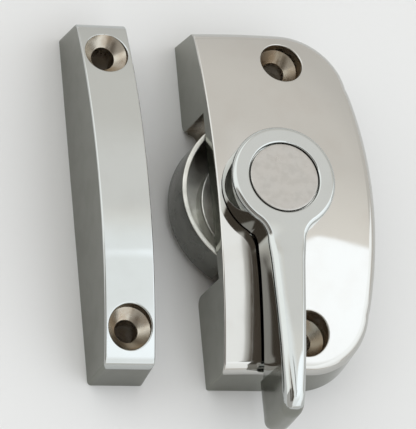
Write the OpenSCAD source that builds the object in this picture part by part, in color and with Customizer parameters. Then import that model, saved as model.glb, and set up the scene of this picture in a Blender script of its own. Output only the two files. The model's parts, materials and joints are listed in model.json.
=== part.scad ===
// Cam lock for a pivot or sash window: a domed case with a half-turn lever on its front,
// a cup-shaped cam that swings out of the case's straight side, and a separate keep.
// The part lies on its mounting face: +Z is the front, +Y runs along the sash.
// The origin is midway between the case's two screw holes, on the mounting face.

/* [Case] */
// Length of the case along the sash
case_len = 67; // [62:1:76]
// From the spindle axis to the straight side
case_left = 11.2; // [10.8:0.1:12]
// Height of the front at the spindle axis
case_h = 15.15; // [14.5:0.05:17]
// Radius of the domed front, centred on the spindle axis
dome_r = 101; // [95:1:130]
// Radius of the curved side
side_r = 106; // [80:1:130]
// Radius of the two corners at the curved side
corner_r = 12.5; // [9:0.5:14]
// Inset of the outer walls from the back to the front
draft = 0.6; // [0.2:0.1:1]
// Radius of the soft front edge
edge_r = 2; // [1:0.1:2.5]
// Wall between the cam pocket and the curved side
side_wall = 4.2; // [2.5:0.1:6]
// Thickness of the front over the cam pocket, on the spindle axis
front_wall = 4.05; // [3.6:0.05:5]
// Length of the cam's opening in the straight side
slot_len = 32; // [30:0.5:34]
// Depth of the opening's two ends, which run past the cam pocket
slot_depth = 2.5; // [2:0.1:3]
// Rounding of the inner corners of those ends
slot_corner = 1.6; // [1:0.1:1.8]
// Rounding of the opening's two back corners
slot_flare = 1.8; // [0.5:0.1:2.4]
// How far that rounding runs in from the straight side
flare_depth = 1; // [0.5:0.1:1.8]
// Height of the bevelled relief behind the front edge of the opening
lip_rise = 2.4; // [1:0.1:2.6]
// Length of that relief along the opening, at its foot
lip_len = 23; // [20:0.5:26]
// Wall round the cored recess at each end
core_wall = 2.3; // [2:0.1:3]
// Depth of the cored recess at each end
core_depth = 6.4; // [3:0.1:7]

/* [Screw holes] */
// Radius of the clearance hole for an 8-gauge screw
screw_r = 2.12; // [1.8:0.02:2.4]
// Radius of the countersink at its rim
head_r = 4; // [3.6:0.1:4.2]
// From a hole to the nearest end of its piece
screw_end = 7.3; // [6.6:0.1:8.4]
// From the spindle axis to the line of the case's holes
screw_x = 5.2; // [4:0.1:6]
// Height of the foot of the case's countersinks
case_seat = 6; // [5:0.1:7]
// Height of the foot of the keep's countersinks
keep_seat = 8.7; // [7:0.1:9]

/* [Keep] */
// Length of the keep
keep_len = 67; // [60:1:76]
// Width of the keep at its back
keep_w = 10.4; // [9.8:0.1:13]
// Height of the keep's front at mid-length
keep_h = 15.2; // [14.6:0.1:17]
// Radius of the keep's cambered front
keep_camber_r = 98; // [90:1:130]
// Inset of the keep's walls from the back to the front
keep_draft = 0.5; // [0.2:0.1:0.8]
// Space between the case and the keep as they are laid out
keep_gap = 11.9; // [8:0.1:40]
// How far the keep is laid out along the sash from the case's middle
keep_shift = 0.7; // [-4:0.1:4]
// Space between the case and the keep when the window is shut
shut_gap = 0.6; // [0.3:0.1:1]

/* [Cam] */
// Radius of the cam's rim at its back edge
cam_r = 15.7; // [15.2:0.1:16.4]
// Offset of the rim's centre from the spindle axis, which draws the sash in
cam_throw = 0.6; // [0.3:0.1:0.8]
// Direction of that offset with the lever down
throw_angle = 138; // [120:1:160]
// Inset of the rim's outside from its back edge to its front edge
rim_taper = 0.2; // [0.1:0.1:0.6]
// Thickness of the rim at its front edge
rim_wall = 1; // [0.8:0.1:1.6]
// Height of the cam's back face above the mounting face
cam_back = 0.6; // [0.4:0.1:1]
// Height of the floor of the cam's groove
groove_floor = 3.2; // [2.8:0.1:3.8]
// Height of the cam's hub
hub_top = 6.3; // [5.8:0.1:6.8]
// Height of the rim's front edge below the roof of the pocket
rim_gap = 0.4; // [0.3:0.1:0.8]
// Rounding of the cam's back edge
cam_edge = 2; // [0.5:0.1:2.4]
// Direction of the rim's leading end with the lever down
rim_from = 95; // [80:1:115]
// Direction of the rim's trailing end with the lever down
rim_to = 238; // [232:1:250]

/* [Lever] */
// Radius of the lever's boss
boss_r = 9.8; // [9.4:0.1:10.4]
// Height of the boss
boss_h = 6.2; // [5.9:0.1:8]
// Rounding of the boss's front edge
boss_edge = 1.1; // [0.5:0.1:1.8]
// Width of the boss's ring round its inset cap
boss_ring = 3.4; // [3:0.1:3.8]
// Turn of the arm towards the straight side when the lever is at its stop
lever_lean = 1.9; // [0:0.1:4]
// Half the width of the arm's front at its root
arm_front = 3.4; // [3:0.1:3.8]
// Draft of the arm's walls, from its front edges to its base
arm_draft = 0.1; // [0:0.05:0.4]
// Rounding of the arm's front edges
arm_edge = 0.9; // [0.4:0.1:1.2]
// Space between the arm and the domed front under it
arm_gap = 1; // [0.4:0.1:1.4]
// Radius of the concave neck between boss and arm
neck_r = 4.5; // [3:0.1:6]
// Length of the finger tab beyond the end of the case
tab_len = 8.9; // [6:0.1:12]
// Height of the tab's underside above the mounting face
tab_z = 7.3; // [6:0.1:9]
// Extra draft of the tab's walls
tab_draft = 0.25; // [0.1:0.05:0.6]
// Half the width of the tab's front at its tip
tip_half = 1.95; // [1.8:0.05:2.2]
// Rounding of the tab's front at its tip, seen from the side
tip_round = 3.6; // [2.5:0.1:4.5]
// Rounding of the tab's front edges at its tip
tip_edge = 1.3; // [0.9:0.1:1.5]
// Thickness of the cap
cap_t = 1.3; // [1:0.1:1.6]

/* [Spindle] */
// Radius of the spindle where it turns
spindle_r = 3.5; // [3.2:0.1:3.8]
// Width of the square that drives the cam
cam_square = 7; // [6.8:0.1:7.4]
// Width of the square that drives the lever
lever_square = 4.9; // [4.4:0.1:5.2]
// Radius of the bush pressed into the case
bush_r = 5; // [4.6:0.1:5.6]
// Radius of the bush's flange
flange_r = 8; // [7.6:0.1:8.2]
// Thickness of the bush's flange
flange_t = 0.8; // [0.6:0.1:1]
// Radius of the screw that holds the lever
lever_screw_r = 1.5; // [1.3:0.1:1.6]
// Radius of the stop pin
stop_r = 1; // [0.8:0.1:1.1]

/* [Clearances] */
// Between the case and anything that swings past it
swing_gap = 0.4; // [0.3:0.05:0.5]
// Between flat faces that slide on each other
slide_gap = 0.05; // [0.03:0.01:0.1]
// Radial running clearance of the spindle
run_gap = 0.05; // [0.02:0.01:0.1]
// Radial clearance of pieces that are pushed together
push_gap = 0.03; // [0.02:0.01:0.05]

/* [Hidden] */
$fn = 96;
cut = 1;

// Case outline, seen from the front with the spindle axis at the origin
cam_reach = cam_r + cam_throw;
pocket_r = cam_reach + swing_gap;
pocket_top = case_h - front_wall;
case_right = pocket_r + side_wall;
half_len = case_len / 2;
side_cx = case_right - side_r;
corner_cy = half_len - corner_r;
corner_cx = side_cx + sqrt(pow(side_r - corner_r, 2) - pow(corner_cy, 2));
corner_turn = asin(corner_cy / (side_r - corner_r));
corner_reach = sqrt(pow(corner_cx, 2) + pow(corner_cy, 2)) + corner_r;
case_screw_y = half_len - screw_end;
slot_half = slot_len / 2;
screw_boss_wall = 1;
screw_boss_r = head_r + screw_boss_wall;
foot_t = 0.05;

// Seats along the spindle axis, from the back to the front
land_inset = 0.5;
land_r = boss_r - land_inset;
land_z = dome_z(land_r);
washer_t = 0.3;
washer_inset = 0.4;
bore_gap = 0.2;
seat_z = land_z + washer_t + slide_gap;
boss_top = seat_z + boss_h;
cap_r = boss_r - boss_ring;
cap_gap = 0.25;
cap_inset = 0.1;
cap_seat = boss_top - cap_inset - cap_t;
lever_floor = 2.15;
screw_seat = seat_z + lever_floor;
lock_t = 0.7;
screw_head_r = 3;
screw_head_h = 1.75;
cap_ledge = 1;
screw_room_r = cap_r - cap_ledge;
flange_z = pocket_top - flange_t;
spring_t = 0.4;
spring_rise = 0.35;
cam_top = flange_z - slide_gap - spring_rise - spring_t;
spindle_head_r = 6.4;
spindle_head_t = 1.1;

// Cam and its stop
rim_top = pocket_top - rim_gap;
rim_front_r = cam_r - rim_taper;
groove_r = rim_front_r - rim_wall;
hub_gap = 0.15;
hub_r = case_left - hub_gap;
cam_boss_r = flange_r + bore_gap;
stop_ring = (cam_boss_r + hub_r) / 2;
stop_gap = 0.15;
stop_turn = asin((stop_r + stop_gap) / stop_ring);
stop_depth = 2.4;
stop_lug_half = 90 - stop_turn;
stop_lug_gap = 2;
stop_lug_top = pocket_top - stop_lug_gap;

// Lever arm, measured from the spindle axis towards its tip
hook_in = max(half_len, corner_reach) + swing_gap;
tip_end = hook_in + tab_len;
tip_r = 2.2;
tip_flat = 0.1;
tip_square = 3;
root_run = 3.2;
arm_root = boss_r + root_run;
arm_curve = 1.25;
tab_blend = 2.7;
tab_start = hook_in - tab_blend;
edge_share = 0.65;
tab_foot = 1.1;
arm_foot = 0.1;
neck_bite = 0.3;
neck_root = boss_r - neck_bite;
neck_half = arm_front + arm_draft;
neck_end = sqrt(pow(neck_root + neck_r, 2) - pow(neck_half + neck_r, 2));
neck_start = neck_end * neck_root / (neck_root + neck_r);
neck_lap = 2;

// Keep
keep_half = keep_len / 2;
keep_screw_y = keep_half - screw_end;
keep_right = -case_left - keep_gap;
keep_axis = case_left + shut_gap;
nose_gap = 0.5;
nose_r = groove_r - nose_gap;

// Height of the domed front at a distance from the spindle axis
function dome_z(r) = case_h - dome_r + sqrt(dome_r * dome_r - r * r);

// The outline of the case, moved in by inset on its curved sides and by left_inset on its straight one
module case_outline(inset, left_inset) {
    hull() {
        for (side = [-1, 1])
            translate([corner_cx, side * corner_cy])
                circle(corner_r - inset, $fn = 64);
        translate([left_inset - case_left, inset - half_len])
            square([corner_cx + case_left - left_inset, case_len - 2 * inset]);
        intersection() {
            translate([side_cx, 0])
                circle(side_r - inset, $fn = 240);
            translate([0, -corner_cy])
                square([case_right, 2 * corner_cy]);
        }
    }
}

// A ball that rounds the front edge: it touches the dome and the drafted wall from inside
module edge_ball(x, y) {
    centre_z = case_h - dome_r + sqrt(pow(dome_r - edge_r, 2) - x * x - y * y);
    translate([x, y, centre_z])
        sphere(edge_r, $fn = 24);
}

// The same rounding at the straight side, as a thin disc that leaves that side flat
module edge_disc(y) {
    x = draft - case_left;
    disc_t = 0.05;
    centre_z = case_h - dome_r + sqrt(pow(dome_r - edge_r, 2) - x * x - y * y);
    translate([x, y, centre_z])
        rotate([0, 90, 0])
            cylinder(r = edge_r, h = disc_t, $fn = 24);
}

module case_body() {
    ball_in = edge_r + draft;
    side_steps = 10;
    corner_steps = 6;
    hull() {
        linear_extrude(foot_t)
            case_outline(0, 0);
        intersection() {
            translate([0, 0, case_h - dome_r])
                sphere(dome_r, $fn = 200);
            linear_extrude(case_h)
                case_outline(ball_in, draft);
        }
        for (i = [-side_steps : side_steps]) {
            turn = corner_turn * i / side_steps;
            edge_ball(side_cx + (side_r - ball_in) * cos(turn), (side_r - ball_in) * sin(turn));
        }
        for (side = [-1, 1]) {
            for (i = [1 : corner_steps]) {
                turn = corner_turn + (90 - corner_turn) * i / corner_steps;
                edge_ball(corner_cx + (corner_r - ball_in) * cos(turn),
                          side * (corner_cy + (corner_r - ball_in) * sin(turn)));
            }
            edge_disc(side * (half_len - ball_in));
        }
    }
}

// A screw hole with its countersink, open to the front above the cone
module screw_hole(seat) {
    translate([0, 0, -cut])
        cylinder(r = screw_r, h = seat + 2 * cut);
    translate([0, 0, seat])
        cylinder(r1 = screw_r, r2 = head_r, h = head_r - screw_r);
    translate([0, 0, seat + head_r - screw_r])
        cylinder(r = head_r, h = case_h + keep_h);
}

// The cam's opening through the straight side, with rounded inner corners
module slot() {
    slot_top = pocket_top - slide_gap;
    translate([-case_left, 0, -cut])
        linear_extrude(slot_top + cut) {
            translate([-cut, -slot_half])
                square([cut + slot_depth - slot_corner, slot_len]);
            translate([-cut, slot_corner - slot_half])
                square([cut + slot_depth, slot_len - 2 * slot_corner]);
            for (side = [-1, 1])
                translate([slot_depth - slot_corner, side * (slot_half - slot_corner)])
                    circle(slot_corner);
        }
}

// The rounding of one back corner of that opening
module slot_back_corner() {
    translate([-case_left - cut, slot_half, 0])
        rotate([90, 0, 90])
            linear_extrude(cut + flare_depth)
                translate([-cut / 2, -cut])
                    difference() {
                        square([slot_flare + cut / 2, slot_flare + cut]);
                        translate([slot_flare + cut / 2, slot_flare + cut])
                            circle(slot_flare);
                    }
}

// The bevelled relief that thins the front edge over the opening
module lip_relief() {
    relief_r = sqrt(pow(case_left, 2) + pow(lip_len / 2, 2));
    relief_lap = 0.3;
    intersection() {
        translate([0, 0, pocket_top - relief_lap])
            cylinder(r1 = relief_r + relief_lap, r2 = relief_r - lip_rise, h = lip_rise + relief_lap);
        translate([-case_left - cut, -slot_half, 0])
            cube([case_left + cut - cam_boss_r, slot_len, case_h]);
    }
}

// The cored recess at one end, beside the screw boss
module end_core() {
    core_x = core_wall - case_left;
    core_y = slot_half + slot_flare + core_wall / 2;
    core_len = half_len - core_wall - core_y;
    translate([core_x, core_y, -cut])
        cube([screw_x - screw_boss_r - core_x, core_len, core_depth + cut]);
}

module case() {
    color("gainsboro")
        translate([-screw_x, 0, 0])
            difference() {
                case_body();
                translate([0, 0, -cut])
                    cylinder(r = pocket_r, h = pocket_top + cut);
                slot();
                slot_back_corner();
                mirror([0, 1, 0])
                    slot_back_corner();
                lip_relief();
                translate([0, 0, pocket_top - cut])
                    cylinder(r = bush_r + push_gap, h = front_wall + 2 * cut);
                translate([0, 0, land_z])
                    cylinder(r = land_r + cut / 2, h = cut);
                translate([0, -stop_ring, pocket_top - cut])
                    cylinder(r = stop_r + push_gap, h = stop_depth + cut);
                for (side = [-1, 1]) {
                    translate([screw_x, side * case_screw_y, 0])
                        screw_hole(case_seat);
                }
                end_core();
                mirror([0, 1, 0])
                    end_core();
            }
}

module spindle_bush() {
    color("peru")
        translate([-screw_x, 0, 0])
            rotate_extrude()
                polygon([
                    [spindle_r + run_gap, flange_z],
                    [flange_r, flange_z],
                    [flange_r, pocket_top],
                    [bush_r, pocket_top],
                    [bush_r, land_z],
                    [spindle_r + run_gap, land_z]
                ]);
}

module stop_pin() {
    pin_foot = hub_top + swing_gap;
    color("dimgray")
        translate([-screw_x, -stop_ring, pin_foot])
            cylinder(r = stop_r, h = pocket_top + stop_depth - pin_foot);
}

module lever_washer() {
    color("ivory")
        translate([-screw_x, 0, land_z])
            difference() {
                cylinder(r = land_r - washer_inset, h = washer_t);
                translate([0, 0, -cut])
                    cylinder(r = spindle_r + bore_gap, h = washer_t + 2 * cut);
            }
}

// The keep's side view: a bar with drafted ends under a cambered front
module keep_side_view() {
    intersection() {
        polygon([
            [-keep_half, 0],
            [keep_half, 0],
            [keep_half - keep_draft, keep_h],
            [keep_draft - keep_half, keep_h]
        ]);
        translate([0, keep_h - keep_camber_r])
            circle(keep_camber_r);
    }
}

// The keep with its right face on x = 0 and its mid-length on y = 0
module keep_shape() {
    difference() {
        intersection() {
            translate([-keep_w - cut, 0, 0])
                rotate([90, 0, 90])
                    linear_extrude(keep_w + 2 * cut)
                        keep_side_view();
            translate([0, keep_half + cut, 0])
                rotate([90, 0, 0])
                    linear_extrude(keep_len + 2 * cut)
                        polygon([
                            [-keep_w, 0],
                            [0, 0],
                            [-keep_draft, keep_h + cut],
                            [keep_draft - keep_w, keep_h + cut]
                        ]);
        }
        translate([keep_axis, 0, 0])
            difference() {
                translate([0, 0, -cut])
                    cylinder(r = pocket_r, h = pocket_top + cut);
                translate([0, 0, groove_floor + swing_gap])
                    cylinder(r = nose_r, h = pocket_top);
            }
        for (side = [-1, 1])
            translate([-keep_w / 2, side * keep_screw_y, 0])
                screw_hole(keep_seat);
    }
}

module keep() {
    color("gainsboro")
        translate([keep_right - screw_x, keep_shift, 0])
            keep_shape();
}

// A wedge between two directions, seen from the front
module wedge(from, to, reach) {
    steps = 6;
    polygon(concat(
        [[0, 0]],
        [for (i = [0 : steps]) let (turn = from + (to - from) * i / steps) reach * [cos(turn), sin(turn)]]
    ));
}

// The rim and the floor of the groove, turned on the offset centre
module cam_cup() {
    translate(cam_throw * [cos(throw_angle), sin(throw_angle), 0])
        rotate_extrude()
            difference() {
                polygon([
                    [0, cam_back],
                    [cam_r, cam_back],
                    [rim_front_r, rim_top],
                    [groove_r, rim_top],
                    [groove_r, groove_floor],
                    [0, groove_floor]
                ]);
                translate([cam_r - cam_edge, cam_back + cam_edge])
                    difference() {
                        translate([0, -cam_edge - cut])
                            square(cam_edge + cut);
                        circle(cam_edge);
                    }
            }
}

module cam() {
    wedge_reach = 2 * cam_reach;
    color("darkgray")
        translate([-screw_x, 0, 0])
            difference() {
                union() {
                    intersection() {
                        cam_cup();
                        linear_extrude(case_h)
                            wedge(rim_from, rim_to, wedge_reach);
                    }
                    translate([0, 0, cam_back])
                        cylinder(r = hub_r, h = hub_top - cam_back);
                    translate([0, 0, hub_top - cut])
                        cylinder(r = cam_boss_r, h = cam_top - hub_top + cut);
                    translate([0, 0, hub_top - cut])
                        intersection() {
                            cylinder(r = hub_r - hub_gap, h = stop_lug_top - hub_top + cut);
                            linear_extrude(case_h)
                                wedge(-stop_lug_half, stop_lug_half, wedge_reach);
                        }
                }
                translate([0, 0, cam_back + (case_h - cut) / 2])
                    cube([cam_square + 2 * push_gap, cam_square + 2 * push_gap, case_h + cut], center = true);
                translate([0, 0, cam_back - cut])
                    cylinder(r = spindle_head_r + push_gap, h = spindle_head_t + cut);
            }
}

module disc_spring() {
    spring_in = spindle_r + bore_gap;
    spring_out = flange_r - washer_inset;
    color("gray")
        translate([-screw_x, 0, cam_top])
            rotate_extrude()
                polygon([
                    [spring_in, spring_rise],
                    [spring_out, 0],
                    [spring_out, spring_t],
                    [spring_in, spring_rise + spring_t]
                ]);
}

module spindle() {
    square_z = cam_back + spindle_head_t;
    tip_z = screw_seat - slide_gap;
    color("dimgray")
        translate([-screw_x, 0, 0])
            difference() {
                union() {
                    translate([0, 0, cam_back])
                        cylinder(r = spindle_head_r, h = spindle_head_t);
                    translate([-cam_square / 2, -cam_square / 2, square_z - slide_gap])
                        cube([cam_square, cam_square, cam_top - square_z]);
                    translate([0, 0, cam_back])
                        cylinder(r = spindle_r, h = seat_z - cam_back);
                    translate([-lever_square / 2, -lever_square / 2, cam_top])
                        cube([lever_square, lever_square, tip_z - cam_top]);
                }
                translate([0, 0, hub_top])
                    cylinder(r = lever_screw_r + push_gap, h = boss_top);
            }
}

module lever_screw() {
    head_z = screw_seat + lock_t;
    drive_w = 0.8;
    drive_t = 0.9;
    color("dimgray")
        translate([-screw_x, 0, 0])
            difference() {
                union() {
                    translate([0, 0, hub_top + cut])
                        cylinder(r = lever_screw_r, h = head_z - hub_top - cut / 2);
                    translate([0, 0, head_z])
                        cylinder(r = screw_head_r, h = screw_head_h);
                }
                translate([-screw_head_r - cut, -drive_w / 2, head_z + screw_head_h - drive_t])
                    cube([2 * (screw_head_r + cut), drive_w, drive_t + cut]);
            }
}

module lock_washer() {
    split_w = 0.7;
    color("gray")
        translate([-screw_x, 0, screw_seat])
            difference() {
                cylinder(r = screw_head_r, h = lock_t);
                translate([0, 0, -cut])
                    cylinder(r = lever_screw_r + bore_gap / 2, h = lock_t + 2 * cut);
                translate([0, -split_w / 2, -cut])
                    cube([screw_head_r + cut, split_w, lock_t + 2 * cut]);
            }
}

module lever_cap() {
    cap_edge = 0.15;
    color("silver")
        translate([-screw_x, 0, cap_seat])
            rotate_extrude()
                polygon([
                    [0, 0],
                    [cap_r, 0],
                    [cap_r, cap_t - cap_edge],
                    [cap_r - cap_edge, cap_t],
                    [0, cap_t]
                ]);
}

// The arm is lofted through sections across it; s is the distance from the spindle axis

// Smooth step from 0 to 1
function ease(t) = let (u = min(1, max(0, t))) u * u * (3 - 2 * u);

// Narrowing of the blunt, round tip
function tip_share(s) =
    let (in_tip = max(0, s - tip_end + tip_r) / tip_r)
    pow(max(pow(tip_flat, tip_square), 1 - pow(in_tip, tip_square)), 1 / tip_square);

// Widening of the concave neck where the arm leaves the boss
function neck_flare(s) =
    s > neck_end ? 0 : neck_r - sqrt(pow(neck_r, 2) - pow(neck_end - max(s, neck_start), 2));

// Height of the arm's front: level with the boss, then rounded over at the tip
function arm_top(s) =
    let (in_round = max(0, s - tip_end + tip_round))
    boss_top - slide_gap - tip_round + sqrt(pow(tip_round, 2) - pow(in_round, 2));

// Height of the arm's underside: over the dome, then down behind the tab
function arm_under(s) = s < hook_in ? dome_z(s) + arm_gap : tab_z;

// Taper of the arm, which eases off towards the tip
function arm_half(s) =
    tip_half + (arm_front - tip_half) * pow(max(0, tip_end - s) / (tip_end - arm_root), arm_curve);

function front_half(s) = arm_half(s) * tip_share(s) + neck_flare(s);

function base_half(s) =
    front_half(s) + (arm_draft + tab_draft * ease((s - tab_start) / tab_blend)) * tip_share(s);

function front_edge(s) =
    min(arm_edge + (tip_edge - arm_edge) * ease((s - tab_start) / (tip_end - tab_start)),
        edge_share * front_half(s));

// One section, from the foot of one side over the front to the foot of the other
function arm_section(s) =
    let (
        under = arm_under(s),
        top = arm_top(s),
        foot = s < hook_in ? arm_foot : tab_foot,
        edge = front_edge(s),
        steps = 4,
        half = concat(
            [[base_half(s) - foot * tip_share(s), under], [base_half(s), under + foot]],
            [for (i = [0 : steps]) let (turn = 90 * i / steps)
                [front_half(s) - edge + edge * cos(turn), top - edge + edge * sin(turn)]]
        ),
        count = len(half)
    )
    concat(
        [for (p = half) [p[0], -s, p[1]]],
        [for (i = [count - 1 : -1 : 0]) [-half[i][0], -s, half[i][1]]]
    );

module arm() {
    hook_run = 0.2;
    stations = concat(
        [neck_start - neck_lap],
        [for (i = [0 : 6]) neck_start + (neck_end - neck_start) * i / 6],
        [for (i = [1 : 10]) neck_end + (hook_in - hook_run - neck_end) * i / 10],
        [for (i = [0 : 5]) hook_in + (tip_end - tip_r - hook_in) * i / 5],
        [for (i = [1 : 8]) tip_end - tip_r + tip_r * sin(90 * i / 8)]
    );
    sections = [for (s = stations) arm_section(s)];
    ring = len(sections[0]);
    last = len(sections) - 1;
    polyhedron(
        points = [for (section = sections) each section],
        faces = concat(
            [[for (i = [0 : ring - 1]) i]],
            [for (k = [0 : last - 1], i = [0 : ring - 1])
                [k * ring + i, (k + 1) * ring + i, (k + 1) * ring + (i + 1) % ring, k * ring + (i + 1) % ring]],
            [[for (i = [ring - 1 : -1 : 0]) last * ring + i]]
        )
    );
}

// The boss, turned with a rounded front edge
module boss() {
    rotate_extrude() {
        translate([0, seat_z])
            square([boss_r, boss_h - boss_edge]);
        translate([0, boss_top - boss_edge - cut])
            square([boss_r - boss_edge, boss_edge + cut]);
        translate([boss_r - boss_edge, boss_top - boss_edge])
            intersection() {
                circle(boss_edge);
                square(boss_edge);
            }
    }
}

module lever() {
    hole_w = lever_square + 2 * push_gap;
    color("gainsboro")
        translate([-screw_x, 0, 0])
            difference() {
                union() {
                    boss();
                    rotate([0, 0, -lever_lean])
                        arm();
                }
                translate([0, 0, cap_seat])
                    cylinder(r = cap_r + cap_gap, h = boss_h);
                translate([0, 0, screw_seat])
                    cylinder(r = screw_room_r, h = boss_h);
                translate([-hole_w / 2, -hole_w / 2, seat_z - cut])
                    cube([hole_w, hole_w, boss_h]);
            }
}

case();
spindle_bush();
stop_pin();
lever_washer();
keep();
lever();
lever_cap();
lever_screw();
lock_washer();
spindle();
cam();
disc_spring();
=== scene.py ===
"""Looks of a plated cam lock for a pivot window: case, half-turn lever, cam and separate keep.

Shapes are worked out in millimetres from the spindle axis, with +Z to the front and the lever
pointing along -Y, and are written as meshes in metres in the row frame.
"""
import json
import math

import bmesh
import bpy
from mathutils import Matrix, Vector
from mathutils.geometry import delaunay_2d_cdt


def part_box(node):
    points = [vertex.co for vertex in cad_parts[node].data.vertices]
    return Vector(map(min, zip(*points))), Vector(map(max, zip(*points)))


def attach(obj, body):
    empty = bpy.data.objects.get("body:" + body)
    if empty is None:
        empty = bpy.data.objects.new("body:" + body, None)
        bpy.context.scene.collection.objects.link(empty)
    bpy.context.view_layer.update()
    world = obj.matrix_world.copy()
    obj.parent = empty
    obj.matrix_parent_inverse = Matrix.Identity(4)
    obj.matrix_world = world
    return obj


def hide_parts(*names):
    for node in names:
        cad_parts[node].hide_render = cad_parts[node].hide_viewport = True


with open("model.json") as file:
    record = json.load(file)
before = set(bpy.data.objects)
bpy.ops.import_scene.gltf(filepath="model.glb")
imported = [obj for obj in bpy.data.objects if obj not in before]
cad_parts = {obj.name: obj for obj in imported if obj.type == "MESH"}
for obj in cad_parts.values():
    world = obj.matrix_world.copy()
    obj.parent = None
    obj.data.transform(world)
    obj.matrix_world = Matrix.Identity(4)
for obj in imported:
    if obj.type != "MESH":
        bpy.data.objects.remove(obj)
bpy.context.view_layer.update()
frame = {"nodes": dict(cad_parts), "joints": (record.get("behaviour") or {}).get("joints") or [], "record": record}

MM = 0.001
MOUNTS = {mount["name"]: mount for mount in frame["record"]["mounts"]}
SPINDLE_X = frame["joints"][0]["pos_m"][0] / MM
SMOOTH_ANGLE = math.radians(32)
# How far a cutting tool runs past the face that it opens
CUT = 1


def node_box(node):
    """A node's lowest and highest corners in millimetres from the spindle axis."""
    shift = Vector((SPINDLE_X, 0, 0))
    return [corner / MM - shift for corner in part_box(node)]


# Sizes of the case
case_low, case_high = node_box("case")
CASE_LEFT = -case_low.x
CASE_RIGHT = case_high.x
HALF_LEN = case_high.y
CASE_H = 15.15
DOME_R = 101
SIDE_R = 106
CORNER_R = 12.5
DRAFT = 0.6
EDGE_R = 1.8
LEFT_EDGE_R = 0.3
HEEL_R = 0.4
POCKET_R = 16.7
POCKET_TOP = 11.1
SLOT_TOP = POCKET_TOP - 0.05
SLOT_HALF = 16
SLOT_FLARE = 1.8
SLOT_DEPTH = 2.5
SLOT_CORNER = 1.6
FLARE_DEPTH = 1
LIP_RISE = 2.85
LIP_LEN = 23
LIP_DEPTH = 0.4
LIP_LAP = 0.3
CORE_WALL = 2.3
CORE_DEPTH = 6.4
LAND_R = 9.8
LAND_LAP = 0.5
BUSH_R = 5.03
STOP_R = 1.03
STOP_RING = 9.625
STOP_DEPTH = 2.4
SIDE_CX = CASE_RIGHT - SIDE_R
CORNER_CY = HALF_LEN - CORNER_R
CORNER_CX = SIDE_CX + math.sqrt((SIDE_R - CORNER_R) ** 2 - CORNER_CY ** 2)
CORNER_TURN = math.asin(CORNER_CY / (SIDE_R - CORNER_R))

# Sizes of the screw holes and of the narrow flat rings inside rounded edges
SCREW_R = MOUNTS["case_screws"]["dims"]["hole_r_mm"]
SCREW_Y = MOUNTS["case_screws"]["dims"]["spacing_y_mm"] / 2
HEAD_R = 4
CASE_SEAT = 6
KEEP_SEAT = 8.7
RIM_R = 0.25
EDGE_LAP = 0.04
LEVER_LAP = 0.08
FOOT_R = 0.22
BOSS_WALL = 1

# Pitches of the loose points on curved fronts, and how far a face's middle may reach into a rim
CASE_PITCH = 1.1
KEEP_PITCH = 1.0
LEVER_PITCH = 0.7
TAB_PITCH = 0.3
ROOT_CLEAR = 0.3
RIM_SLACK = 0.01
RECESS_SLACK = 0.004

# Sizes of the keep
keep_low, keep_high = node_box("keep")
KEEP_CX = (keep_low.x + keep_high.x) / 2
KEEP_CY = (keep_low.y + keep_high.y) / 2
KEEP_HALF_W = (keep_high.x - keep_low.x) / 2
KEEP_HALF_LEN = (keep_high.y - keep_low.y) / 2
KEEP_H = 15.2
KEEP_CAMBER_R = 98
KEEP_DRAFT = 0.5
KEEP_END_R = 1.6
KEEP_LONG_R = 0.3
KEEP_HEEL_R = 0.7
KEEP_AXIS = 11.8
NOSE_R = 14
NOSE_Z = 3.6

# Sizes of the lever
lever_low, lever_high = node_box("lever")
BOSS_R = lever_high.y
BOSS_TOP = lever_high.z
TAB_Z = lever_low.z
SEAT_Z = 15.071
BOSS_EDGE = 0.8
BOSS_CROWN_R = 50
LEVER_LEAN = math.radians(1.9)
ARM_EDGE = 1.1
ARM_ROOT = BOSS_R + 3.2
ARM_FRONT = 3.4
TIP_HALF = 1.95
ARM_CURVE = 1.25
ARM_DRAFT = 0.1
ARM_GAP = 1
ARM_STEP = 0.15
WALL_LAP = 0.5
HOOK_RUN = 3
ARM_BEND_FROM = 22.5
ARM_BEND_R = 160
ARM_CROWN = 0.15
LEFT_CROWN = 0.22
TIP_CROWN = 0.75
CROWN_RUN = 5.5
NECK_R = 4.5
HOOK_IN = 34.74
TIP_END = HOOK_IN + 8.9
TIP_R = 2.2
TIP_SQUARE = 3
TIP_ROUND = 3.6
TIP_WALL_DROP = 2.6
TAB_BLEND = 2.7
TAB_START = HOOK_IN - TAB_BLEND
TAB_DRAFT = 0.25
TAB_FOOT = 1.5
CAP_R = 6.4
CAP_GAP = 0.25
CAP_SEAT = 19.871
CAP_EDGE = 0.18
SCREW_ROOM_R = 5.4
SCREW_SEAT = 17.221
LEVER_SQUARE = 4.96
RECESS_EDGE = 0.3

# Sizes of the cam
CAM_R = 15.7
CAM_THROW = 0.6
THROW_ANGLE = math.radians(138)
RIM_FROM = math.radians(95)
RIM_TO = math.radians(238)
RIM_TAPER = 0.2
GROOVE_R = 14.5
RIM_TOP = 10.7
CAM_BACK = 0.6
GROOVE_FLOOR = 3.2
HUB_R = 11.05
HUB_TOP = 6.3
CAM_BOSS_R = 8.2
CAM_TOP = 9.5
CAM_EDGE = 2
CAM_RIM_EDGE = 0.25
FLOOR_IN = 0.9
FLOOR_UP = 0.1
FLOOR_BORE = 2
FLOOR_EDGE = 0.02
HUB_EDGE = 0.35
LUG_R = 10.9
LUG_TOP = 9.1
LUG_HALF = math.radians(83.1)
LUG_LAP = 0.5
LUG_EDGE = 0.15
CAM_SQUARE = 7.06
SPINDLE_HEAD_R = 6.43
SPINDLE_HEAD_T = 1.1

# Sizes of the washers, with the lock washer's gap as an angle
WASHER_BORE = 3.7
SPRING_T = 0.4
SPRING_RISE = 0.35
LOCK_BORE = 1.6
LOCK_EDGE = 0.1
LOCK_GAP = 0.34


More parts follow.
